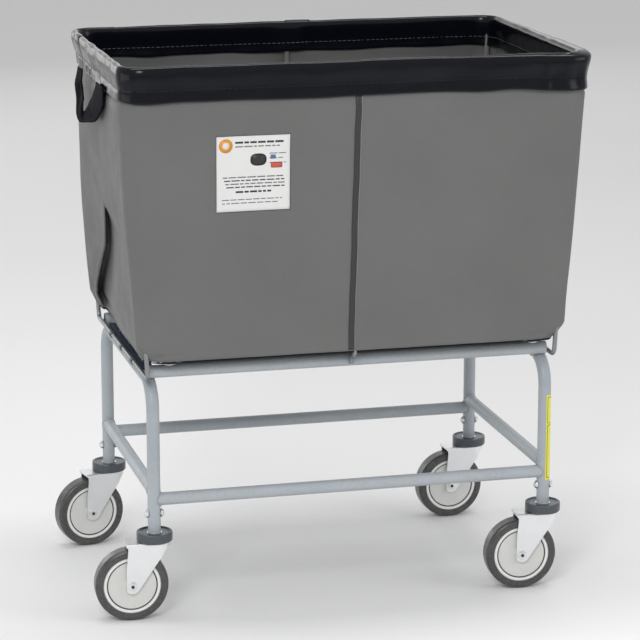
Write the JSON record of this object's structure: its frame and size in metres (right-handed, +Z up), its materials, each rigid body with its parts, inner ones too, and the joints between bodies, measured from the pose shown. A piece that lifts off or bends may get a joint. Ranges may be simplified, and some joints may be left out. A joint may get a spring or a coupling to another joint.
{
  "type": "laundry cart",
  "caption": "Elevated laundry cart: a deep rectangular vinyl basket on a bent-tube frame with swivel casters, rod stays and strap handles at the ends.",
  "frame": {"origin": "on the floor under the middle of the tube frame", "axes": "+X along the cart's length, +Y to the rear long side, +Z up"},
  "size_m": [0.8641, 0.53, 0.962],
  "materials": {
    "frame_paint": "satin powder coat",
    "navy_paint": "satin powder coat",
    "zinc_rod": "zinc plate",
    "zinc_clip": "zinc plate, dulled by heat",
    "liner_vinyl": "vinyl-coated cloth, satin",
    "band_vinyl": "gloss vinyl",
    "strap_vinyl": "gloss vinyl strap",
    "label_card": "satin film",
    "sticker_film": "gloss film",
    "plug_plastic": "matt",
    "fastener_zinc": "bright zinc plate",
    "bearing_steel": "ground",
    "cap_plastic": "satin",
    "dish_zinc": "bright zinc plate",
    "fork_zinc": "bright zinc plate",
    "hub_plastic": "satin",
    "tyre_rubber": "satin"
  },
  "bodies": {
    "cart": {"floor_end_bars": "navy_paint", "floor_rods": "zinc_rod", "front_centre_stay": "zinc_rod", "front_label": "label_card", "front_left_caster_stem": "fastener_zinc", "front_left_swivel_cap": "cap_plastic", "front_left_swivel_dish": "dish_zinc", "front_lower_rail": "frame_paint", "front_right_caster_stem": "fastener_zinc", "front_right_swivel_cap": "cap_plastic", "front_right_swivel_dish": "dish_zinc", "front_top_rail": "frame_paint", "left_corner_stay": "zinc_rod", "left_end_hoop": "frame_paint", "left_lower_crossbar": "frame_paint", "leg_acorn_nuts": "fastener_zinc", "leg_bolts": "fastener_zinc", "leg_sticker": "sticker_film", "liner": "liner_vinyl", "rail_plugs": "plug_plastic", "rear_centre_stay": "zinc_rod", "rear_left_caster_stem": "fastener_zinc", "rear_left_swivel_cap": "cap_plastic", "rear_left_swivel_dish": "dish_zinc", "rear_lower_rail": "frame_paint", "rear_right_caster_stem": "fastener_zinc", "rear_right_swivel_cap": "cap_plastic", "rear_right_swivel_dish": "dish_zinc", "rear_top_rail": "frame_paint", "right_corner_stay": "zinc_rod", "right_end_hoop": "frame_paint", "right_lower_crossbar": "frame_paint", "rim_band": "band_vinyl", "rim_rod": "zinc_rod", "stay_clips": "zinc_clip", "swivel_bearings": "bearing_steel"},
    "front_left_swivel": {"front_left_caster_fork": "fork_zinc", "front_left_caster_axle": "fastener_zinc"},
    "front_left_wheel": {"front_left_wheel_hub": "hub_plastic", "front_left_wheel_tyre": "tyre_rubber", "front_left_wheel_bush": "bearing_steel"},
    "front_right_swivel": {"front_right_caster_fork": "fork_zinc", "front_right_caster_axle": "fastener_zinc"},
    "front_right_wheel": {"front_right_wheel_hub": "hub_plastic", "front_right_wheel_tyre": "tyre_rubber", "front_right_wheel_bush": "bearing_steel"},
    "rear_left_swivel": {"rear_left_caster_fork": "fork_zinc", "rear_left_caster_axle": "fastener_zinc"},
    "rear_left_wheel": {"rear_left_wheel_hub": "hub_plastic", "rear_left_wheel_tyre": "tyre_rubber", "rear_left_wheel_bush": "bearing_steel"},
    "rear_right_swivel": {"rear_right_caster_fork": "fork_zinc", "rear_right_caster_axle": "fastener_zinc"},
    "rear_right_wheel": {"rear_right_wheel_hub": "hub_plastic", "rear_right_wheel_tyre": "tyre_rubber", "rear_right_wheel_bush": "bearing_steel"},
    "left_handle": {"left_handle": "strap_vinyl"},
    "right_handle": {"right_handle": "strap_vinyl"}
  },
  "joints": [
    {"name": "front_left_swivel", "type": "hinge", "parent": "cart", "child": "front_left_swivel", "pos_m": [-0.35075, -0.2215, 0.1365], "axis": [0, 0, 1], "continuous": true},
    {"name": "front_left_roll", "type": "hinge", "parent": "front_left_swivel", "child": "front_left_wheel", "pos_m": [-0.39219, -0.21933, 0.0635], "axis": [0.0523, 0.9986, 0], "continuous": true},
    {"name": "front_right_swivel", "type": "hinge", "parent": "cart", "child": "front_right_swivel", "pos_m": [0.35075, -0.2215, 0.1365], "axis": [0, 0, 1], "continuous": true},
    {"name": "front_right_roll", "type": "hinge", "parent": "front_right_swivel", "child": "front_right_wheel", "pos_m": [0.30931, -0.21933, 0.0635], "axis": [0.0523, 0.9986, 0], "continuous": true},
    {"name": "rear_left_swivel", "type": "hinge", "parent": "cart", "child": "rear_left_swivel", "pos_m": [-0.35075, 0.2215, 0.1365], "axis": [0, 0, 1], "continuous": true},
    {"name": "rear_left_roll", "type": "hinge", "parent": "rear_left_swivel", "child": "rear_left_wheel", "pos_m": [-0.39142, 0.21323, 0.0635], "axis": [-0.1994, 0.9799, 0], "continuous": true},
    {"name": "rear_right_swivel", "type": "hinge", "parent": "cart", "child": "rear_right_swivel", "pos_m": [0.35075, 0.2215, 0.1365], "axis": [0, 0, 1], "continuous": true},
    {"name": "rear_right_roll", "type": "hinge", "parent": "rear_right_swivel", "child": "rear_right_wheel", "pos_m": [0.30931, 0.21933, 0.0635], "axis": [-0.0523, 0.9986, 0], "continuous": true},
    {"name": "left_handle_lift", "type": "hinge", "parent": "cart", "child": "left_handle", "pos_m": [-0.4065, 0.03, 0.9012], "axis": [0, 1, 0], "range_deg": [0, 100]},
    {"name": "right_handle_lift", "type": "hinge", "parent": "cart", "child": "right_handle", "pos_m": [0.4065, 0.03, 0.9012], "axis": [0, -1, 0], "range_deg": [0, 100]}
  ]
}
